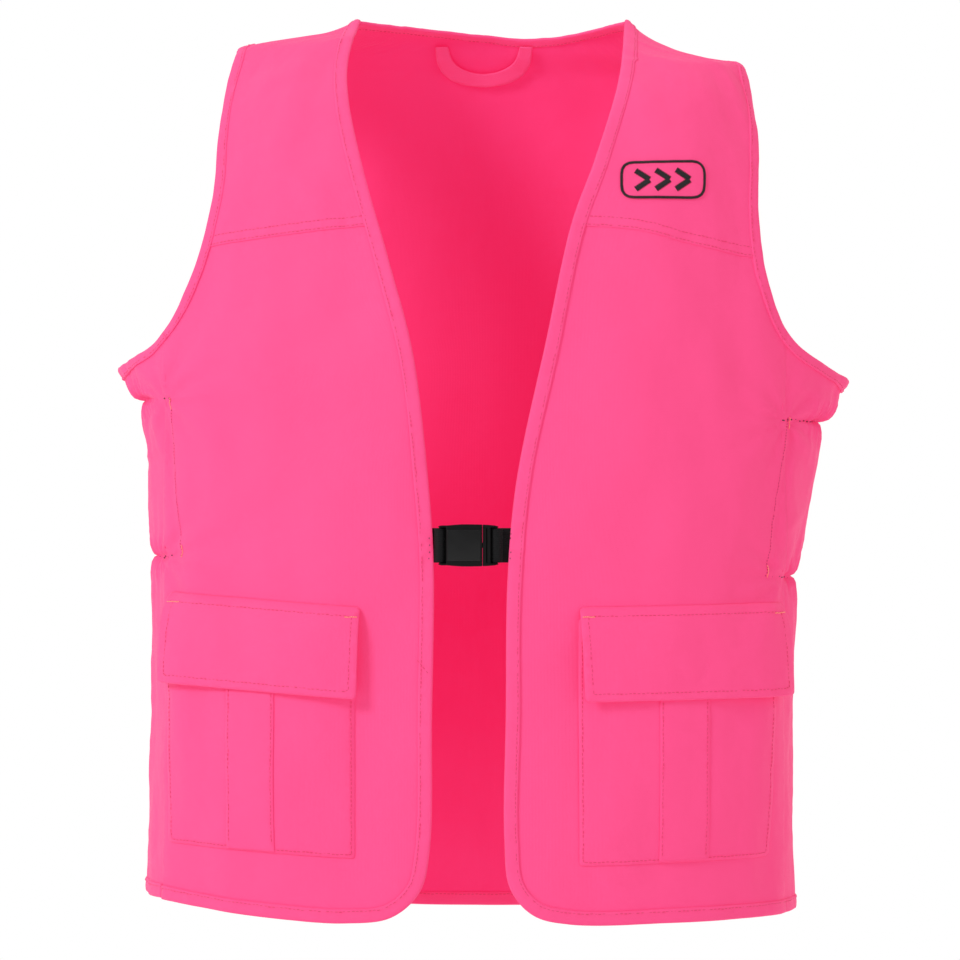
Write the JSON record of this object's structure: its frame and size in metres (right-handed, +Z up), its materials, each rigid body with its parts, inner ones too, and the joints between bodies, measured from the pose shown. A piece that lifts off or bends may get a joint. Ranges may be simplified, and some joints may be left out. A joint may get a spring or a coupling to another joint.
{
  "type": "hunting vest",
  "caption": "Open-front pink field vest with bound edges, flapped patch pockets, gathered elastic sides, hanger loop and a chest strap with a side-release buckle.",
  "frame": {"origin": "between the wearer's shoulders, at the height where the vest rests on them", "axes": "+Z up, -Y the wearer's front, +X the wearer's left"},
  "size_m": [0.5406, 0.2422, 0.6769],
  "materials": {
    "shell_fabric": "matt woven polyester, fluorescent pink",
    "edge_binding": "folded woven tape, fluorescent pink",
    "webbing": "ribbed black webbing",
    "buckle_plastic": "moulded black acetal",
    "elastic": "braided elastic",
    "fastener": "hook and loop",
    "emblem": "embroidered patch"
  },
  "bodies": {
    "root": {"back_panel": "shell_fabric", "neck_binding": "edge_binding", "back_hem_binding": "edge_binding", "right_yoke": "shell_fabric", "left_yoke": "shell_fabric", "right_lapel_binding": "edge_binding", "left_lapel_binding": "edge_binding", "right_armhole_binding": "edge_binding", "left_armhole_binding": "edge_binding", "right_side_panel": "shell_fabric", "left_side_panel": "shell_fabric", "right_upper_elastic": "elastic", "right_lower_elastic": "elastic", "left_upper_elastic": "elastic", "left_lower_elastic": "elastic", "chest_patch": "emblem"},
    "hanger_loop": {"hanger_loop": "edge_binding"},
    "right_front": {"right_front_panel": "shell_fabric", "right_front_binding": "edge_binding", "right_underarm_binding": "edge_binding", "right_pocket": "shell_fabric", "right_pocket_fastener": "fastener", "right_webbing_anchor": "webbing"},
    "left_front": {"left_front_panel": "shell_fabric", "left_front_binding": "edge_binding", "left_underarm_binding": "edge_binding", "left_pocket": "shell_fabric", "left_pocket_fastener": "fastener", "left_webbing_anchor": "webbing"},
    "right_flap": {"right_pocket_flap": "shell_fabric", "right_flap_fastener": "fastener"},
    "left_flap": {"left_pocket_flap": "shell_fabric", "left_flap_fastener": "fastener"},
    "right_strap": {"right_webbing": "webbing", "buckle_housing": "buckle_plastic"},
    "left_strap": {"left_webbing": "webbing", "buckle_insert": "buckle_plastic"},
    "buckle_arm_upper": {"buckle_arm_upper": "buckle_plastic"},
    "buckle_arm_lower": {"buckle_arm_lower": "buckle_plastic"}
  },
  "joints": [
    {"name": "right_front_open", "type": "hinge", "parent": "root", "child": "right_front", "pos_m": [-0.236, -0.066, -0.3776], "axis": [0, 0, -1], "range_deg": [0, 30], "deforming": ["buckle_arm_upper", "buckle_arm_lower"]},
    {"name": "left_front_open", "type": "hinge", "parent": "root", "child": "left_front", "pos_m": [0.222, -0.076, -0.3776], "axis": [0, 0, 1], "range_deg": [0, 28.95]},
    {"name": "right_strap_turn", "type": "hinge", "parent": "right_front", "child": "right_strap", "pos_m": [-0.038, -0.10832, -0.3776], "axis": [0, 0, 1], "range_deg": [0, 30]},
    {"name": "left_strap_turn", "type": "hinge", "parent": "left_front", "child": "left_strap", "pos_m": [0.0174, -0.10885, -0.3776], "axis": [0, 0, -1], "range_deg": [0, 28.95]},
    {"name": "right_flap_lift", "type": "hinge", "parent": "right_front", "child": "right_flap", "pos_m": [-0.231, -0.07694, -0.413], "axis": [-0.9403, 0.3338, 0.0667], "range_deg": [0, 120]},
    {"name": "left_flap_lift", "type": "hinge", "parent": "left_front", "child": "left_flap", "pos_m": [0.219, -0.07681, -0.422], "axis": [-0.9432, -0.332, -0.0063], "range_deg": [0, 120]},
    {"name": "hanger_loop_swing", "type": "hinge", "parent": "root", "child": "hanger_loop", "pos_m": [0, 0.048, -0.0055], "axis": [-1, 0, 0], "range_deg": [0, 120]},
    {"name": "buckle_squeeze_upper", "type": "hinge", "parent": "left_strap", "child": "buckle_arm_upper", "pos_m": [-0.0014, -0.112, -0.3685], "axis": [0, -1, 0], "range_deg": [0, 12], "stiffness_Nm_per_rad": 0.05},
    {"name": "buckle_squeeze_lower", "type": "hinge", "parent": "left_strap", "child": "buckle_arm_lower", "pos_m": [-0.0014, -0.112, -0.3867], "axis": [0, 1, 0], "range_deg": [0, 12], "stiffness_Nm_per_rad": 0.05}
  ],
  "couplings": [
    {"joint": "left_front_open", "follows": "right_front_open", "ratio": 0.965},
    {"joint": "right_strap_turn", "follows": "right_front_open", "ratio": 1},
    {"joint": "left_strap_turn", "follows": "right_front_open", "ratio": 0.965},
    {"joint": "buckle_squeeze_lower", "follows": "buckle_squeeze_upper", "ratio": 1}
  ]
}
